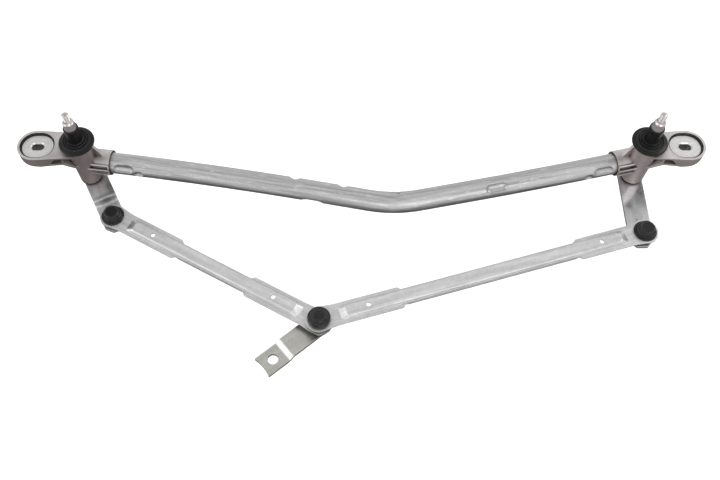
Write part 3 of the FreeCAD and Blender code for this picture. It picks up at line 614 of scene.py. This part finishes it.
def thread_radius(angle, height):
    """Right-hand thread with a run-out below and a chamfered tip; height is over its lower end."""
    turn = (height / THREAD_PITCH - angle / (2 * math.pi)) % 1.0
    flank = abs(turn - 0.5) * 2
    cut = THREAD_DEPTH * min(1.0, max(0.0, (flank - 0.5) * THREAD_FLANK + 0.5))
    start = min(1.0, height / THREAD_RUN_OUT)
    root = THREAD_TOP_R - THREAD_DEPTH
    limit = THREAD_TOP_R - max(0.0, height - (THREAD_LENGTH - TIP_CHAMFER))
    return min(root + (THREAD_DEPTH - cut) * start, limit)


def wiper_shaft(side, material):
    node = side + "_wiper_shaft"
    low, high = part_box(node)
    thread_low = high.z - THREAD_LENGTH
    cone_low = thread_low - THREAD_SHOULDER - CONE_LENGTH

    def radius_at(angle, row):
        radius, z, kind = row
        if kind == "knurl":
            return knurl_radius(angle, radius, (z - cone_low) / CONE_LENGTH)
        if kind == "thread":
            return thread_radius(angle, z - thread_low)
        return radius

    thing = lathe("threaded_" + node, shaft_outline(low.z, high.z), axis_of(node),
                  KNURL_TEETH * SEGMENTS_PER_TOOTH, radius_at)
    stands_for(thing, material, side + "_pivot", node)


# ---------------------------------------------------------------- rubber boots and ball sockets
BOOT_SEGMENTS = 160
SOCKET_SEGMENTS = 128


def moulded(node, corners, segments, steps=5):
    """Turned moulding on a node's axis; corners list (r, z, arc) over the node's lower end."""
    centre = axis_of(node)
    centre.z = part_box(node)[0].z
    return lathe("moulded_" + node, rounded_profile(corners, steps), centre, segments, closed=True)


def shaft_boot(side, material):
    """Ribbed disc, pleated collar and tall sleeve, in one moulding."""
    node = side + "_shaft_boot"
    low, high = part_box(node)
    top = (high.z - low.z) / MM
    disc = [(12.4, 0.0, 0), (13.9, 0.0, 0.4), (14.0, 3.8, 1.0), (19.4, 5.5, 1.4), (20.5, 6.4, 0.5),
            (20.5, 7.4, 0.5), (19.5, 8.1, 0.8), (16.1, 9.0, 0.8)]
    pleats = [(15.5, 10.5, 0.15), (14.6, 10.5, 0.15), (14.1, 9.2, 0.5), (12.9, 9.4, 0.5),
              (12.5, 11.7, 0.15), (11.6, 11.7, 0.15), (11.1, 10.4, 0.5), (10.3, 10.6, 0.5),
              (10.0, 13.3, 0.15), (9.1, 13.3, 0.15), (8.7, 12.4, 0.4)]
    sleeve = [(8.5, 15.0, 1.5), (8.3, top - 5.0, 0.5), (8.6, top - 3.4, 0.5), (8.6, top - 0.8, 0.4),
              (8.1, top, 0.4), (7.5, top, 0.2)]
    inside = [(7.5, top - 1.4, 0.2), (6.4, top - 3.3, 0.3), (6.4, top - 5.3, 0.4),
              (7.3, top - 7.3, 0.5), (7.5, 14.2, 1.0), (10.0, 8.2, 1.0), (12.4, 6.2, 0)]
    thing = moulded(node, disc + pleats + sleeve + inside, BOOT_SEGMENTS)
    stands_for(thing, material, "frame", node)


def socket_piece(node, body, corners, material):
    thing = moulded(node, corners, SOCKET_SEGMENTS, steps=6)
    stands_for(thing, material, body, node)


def outer_socket(side, material):
    """Domed cap with a raised crown, a rolled rim and a mouth below for the ball."""
    outside = [(5.9, 0.0, 0), (9.4, 0.0, 0.5), (10.5, 0.8, 0.2), (10.5, 3.6, 0.1), (13.4, 3.6, 0.3),
               (13.4, 4.9, 0.7), (12.4, 5.6, 0.5), (10.9, 5.4, 0.5), (10.4, 10.4, 0.5),
               (9.2, 13.2, 1.0), (7.6, 14.1, 0.6), (7.2, 13.8, 0.3), (0.0, 13.8, 0)]
    cavity = [(0.0, 12.3, 0), (3.5, 12.0, 1.0), (6.6, 8.0, 3.0), (5.9, 3.0, 1.5), (4.9, 1.6, 0.4)]
    socket_piece(side + "_outer_ball_socket", side + "_link", outside + cavity, material)


def crank_cap(material):
    """The same kind of cap with a wider cavity, over the crank's upper ball."""
    outside = [(10.7, 0.0, 0), (11.6, 0.0, 0.3), (11.7, 2.4, 0.1), (12.9, 2.4, 0.4),
               (12.9, 8.0, 1.3), (11.4, 9.1, 0.7), (9.9, 8.9, 0.5), (9.2, 11.2, 0.6),
               (7.9, 12.6, 1.0), (6.6, 12.9, 0.5), (6.3, 12.7, 0.2), (0.0, 12.7, 0)]
    cavity = [(0.0, 11.8, 0), (8.3, 11.2, 0.6), (10.6, 8.0, 0.8), (10.6, 0.6, 0.3)]
    socket_piece("right_inner_ball_socket", "right_link", outside + cavity, material)


# ---------------------------------------------------------------- plated levers
# Each mark is x and y from the shaft's axis, heading, half length, half width, grey and strength,
# in millimetres and degrees, seen from above: dark patches, and on the right lever one painted
# reflection, a bright streak.
LEVER_MARKS = {
    "left": ((25.0, -17.0, -63.0, 14.0, 7.0, 0.18, 0.80),
             (20.0, -29.5, 27.0, 20.0, 6.0, 0.18, 0.80)),
    "right": ((7.0, -19.0, -90.0, 15.0, 8.5, 0.16, 0.85),
              (5.0, -34.0, -90.0, 12.0, 8.0, 0.26, 0.55),
              (-10.0, -41.5, -70.0, 8.0, 5.0, 0.18, 0.70),
              (-3.0, -58.0, -90.0, 16.0, 13.0, 0.44, 0.75),
              # painted reflection: a bright streak across the right lever, moving with it
              (-6.0, -24.5, 53.0, 27.0, 6.5, 1.00, 1.00))}
# light tone, dark tone, heading of the rolling streaks in degrees, roughness
LEVER_SHEET = {
    "left": ((0.60, 0.605, 0.605), (0.36, 0.365, 0.365), -63.0, (0.34, 0.44)),
    "right": ((0.60, 0.605, 0.61), (0.42, 0.425, 0.43), -90.0, (0.30, 0.40))}


def lever_plating(side):
    """Sheet of a lever with its marks, which lie where the lever is at rest and move with it."""
    light, dark, turn, roughness = LEVER_SHEET[side]
    pivot = axis_of(side + "_wiper_shaft")
    smears = [(pivot + Vector((x * MM, y * MM, 0.0)), *rest) for x, y, *rest in LEVER_MARKS[side]]
    return plated_steel(side + "_lever_plating", light, dark, math.radians(turn), roughness,
                        streaks=0.22, edge=0.0008, metallic=0.75, patchy=0.2, smears=smears)


# ---------------------------------------------------------------- build
# painted shade on the walls that look down, darker on the left housing
HOUSING_SHADE = {"left": (0.235, 0.180, 0.175), "right": (0.430, 0.365, 0.362)}


def dress_crank(studs, plastic):
    hub = place_of_mount("motor_shaft_bore")
    pin = centre_of("crank_ball_stud")
    plating = plated_steel("crank_plating", (0.62, 0.615, 0.575), (0.50, 0.495, 0.465),
                           heading(hub, pin), (0.24, 0.36), streaks=0.18)
    paint("motor_crank_arm", plating)
    paint("crank_ball_stud", studs)
    paint("left_inner_ball_socket", plastic)
    crank_cap(plastic)


def dress_links():
    pin = centre_of("crank_ball_stud")
    for side in SIDES:
        turn = heading(centre_of(side + "_lever_ball_stud"), pin)
        sheet = plated_steel(side + "_plated_sheet", (0.64, 0.64, 0.64), (0.47, 0.47, 0.475), turn,
                             metallic=0.8, fold=3.2 * MM)
        paint(side + "_link_rod", sheet)


def dress_pivots(studs, plastic):
    cone_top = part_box("left_wiper_shaft")[1].z - THREAD_LENGTH - THREAD_SHOULDER
    ground = bright_steel("ground_shaft_steel", (0.66, 0.62, 0.62), (0.48, 0.44, 0.44),
                          (0.20, 0.36), matt_below=cone_top)
    zinc = plated_steel("bushing_plating", (0.76, 0.755, 0.745), (0.64, 0.635, 0.625), 0.3,
                        (0.30, 0.46), streaks=0.12, edge=0.0004)
    rubber = moulded_rubber()
    bronze = sintered_bronze()
    acetal = white_acetal()
    phosphate = dark_phosphate()
    for side in SIDES:
        paint(side + "_pivot_housing", die_cast(side, HOUSING_SHADE[side]))
        paint(side + "_mount_grommet", rubber)
        paint(side + "_mount_bushing", zinc)
        paint(side + "_upper_bush", bronze)
        paint(side + "_lower_bush", bronze)
        paint(side + "_thrust_washer", acetal)
        paint(side + "_circlip", phosphate)
        paint(side + "_o_ring", rubber)
        paint(side + "_lever_ball_stud", studs)
        paint(side + "_pivot_lever", lever_plating(side))
        wiper_shaft(side, ground)
        shaft_boot(side, rubber)
        outer_socket(side, plastic)


def dress():
    studs = bright_steel("ball_steel", (0.78, 0.77, 0.76), (0.60, 0.59, 0.58), (0.14, 0.26))
    plastic = glossy_plastic()
    paint("frame_tube", tube_steel())
    dress_crank(studs, plastic)
    dress_links()
    dress_pivots(studs, plastic)


# ---------------------------------------------------------------- stage
FLOOR_DROP = 0.10                              # the object hangs clear of the floor
FLOOR_HALF = 6.0
SKY_STRENGTH = 1.2
SKY = ((0.0, 0.10), (0.26, 0.15), (0.42, 0.86), (1.0, 0.56))   # from straight below to straight up
CAMERA_PLACE = (-0.0295, -0.5786, 0.8319)
CAMERA_TILT = 28.684                           # degrees off straight down, towards the back
CAMERA_LENS = 43.5
CAMERA_SENSOR = 36.0
CAMERA_SHIFT = 0.0333
CAMERA_REACH = (0.05, 60.0)


def pale_floor():
    half = FLOOR_HALF
    mesh = bpy.data.meshes.new("floor")
    mesh.from_pydata([(-half, -half, 0), (half, -half, 0), (half, half, 0), (-half, half, 0)], [],
                     [(0, 1, 2, 3)])
    thing = bpy.data.objects.new("floor", mesh)
    thing.location.z = CAD_BOX[0].z - FLOOR_DROP
    thing.visible_glossy = False
    bpy.context.scene.collection.objects.link(thing)
    g = Graph("pale_floor")
    cloud = g.noise(2.0, 3.0)
    tone = g.blend(cloud, (0.955, 0.955, 0.955), (0.975, 0.975, 0.975))
    paper = g.finish(tone, g.scaled(cloud, 0.7, 0.9), g.bumps(cloud, 0.02, 0.0002),
                     Specular_IOR_Level=0.1)
    thing.data.materials.append(paper)


def softbox(name, place, aim, size, power):
    light = bpy.data.lights.new(name, "AREA")
    light.shape = "RECTANGLE"
    light.size, light.size_y = size
    light.energy = power
    thing = bpy.data.objects.new(name, light)
    thing.location = place
    direction = Vector(aim) - Vector(place)
    thing.rotation_euler = direction.to_track_quat("-Z", "Y").to_euler()
    bpy.context.scene.collection.objects.link(thing)
    return thing


def sky():
    """Grey sky by height: dark below the horizon, a bright band above it."""
    world = bpy.data.worlds.new("studio")
    bpy.context.scene.world = world
    world.use_nodes = True
    tree = world.node_tree
    background = tree.nodes["Background"]
    place = tree.nodes.new("ShaderNodeTexCoord")
    split = tree.nodes.new("ShaderNodeSeparateXYZ")
    height = tree.nodes.new("ShaderNodeMapRange")
    height.inputs["From Min"].default_value = -1.0
    ramp = tree.nodes.new("ShaderNodeValToRGB")
    tree.links.new(place.outputs["Generated"], split.inputs[0])
    tree.links.new(split.outputs["Z"], height.inputs["Value"])
    tree.links.new(height.outputs["Result"], ramp.inputs["Fac"])
    tree.links.new(ramp.outputs["Color"], background.inputs["Color"])
    elements = ramp.color_ramp.elements
    while len(elements) < len(SKY):
        elements.new(0.5)
    for element, (position, grey) in zip(elements, SKY):
        element.position = position
        element.color = (grey, grey, grey, 1.0)
    background.inputs["Strength"].default_value = SKY_STRENGTH


def lights():
    softbox("left_softbox", (-2.6, -0.6, 1.6), (0, -0.05, 0), (2.2, 2.2), 23)
    softbox("right_softbox", (2.8, 0.8, 2.6), (0, -0.05, 0), (1.4, 1.4), 26)
    softbox("front_fill", (0.9, -2.3, 1.35), (0.1, 0, 0), (2.2, 1.1), 15)
    wash = softbox("floor_wash", (0.0, 0.0, 3.2), (0, 0, 0), (3.0, 3.0), 60)
    wash.visible_glossy = False


def camera():
    """Looks straight to the back, about 61 degrees down from the horizon."""
    data = bpy.data.cameras.new("camera")
    data.lens = CAMERA_LENS
    data.sensor_width = CAMERA_SENSOR
    data.shift_x = CAMERA_SHIFT
    data.clip_start, data.clip_end = CAMERA_REACH
    thing = bpy.data.objects.new("camera", data)
    thing.location = CAMERA_PLACE
    thing.rotation_euler = (math.radians(CAMERA_TILT), 0.0, 0.0)
    bpy.context.scene.collection.objects.link(thing)
    bpy.context.scene.camera = thing


dress()
pale_floor()
sky()
lights()
camera()
bpy.context.scene.view_settings.view_transform = "Standard"
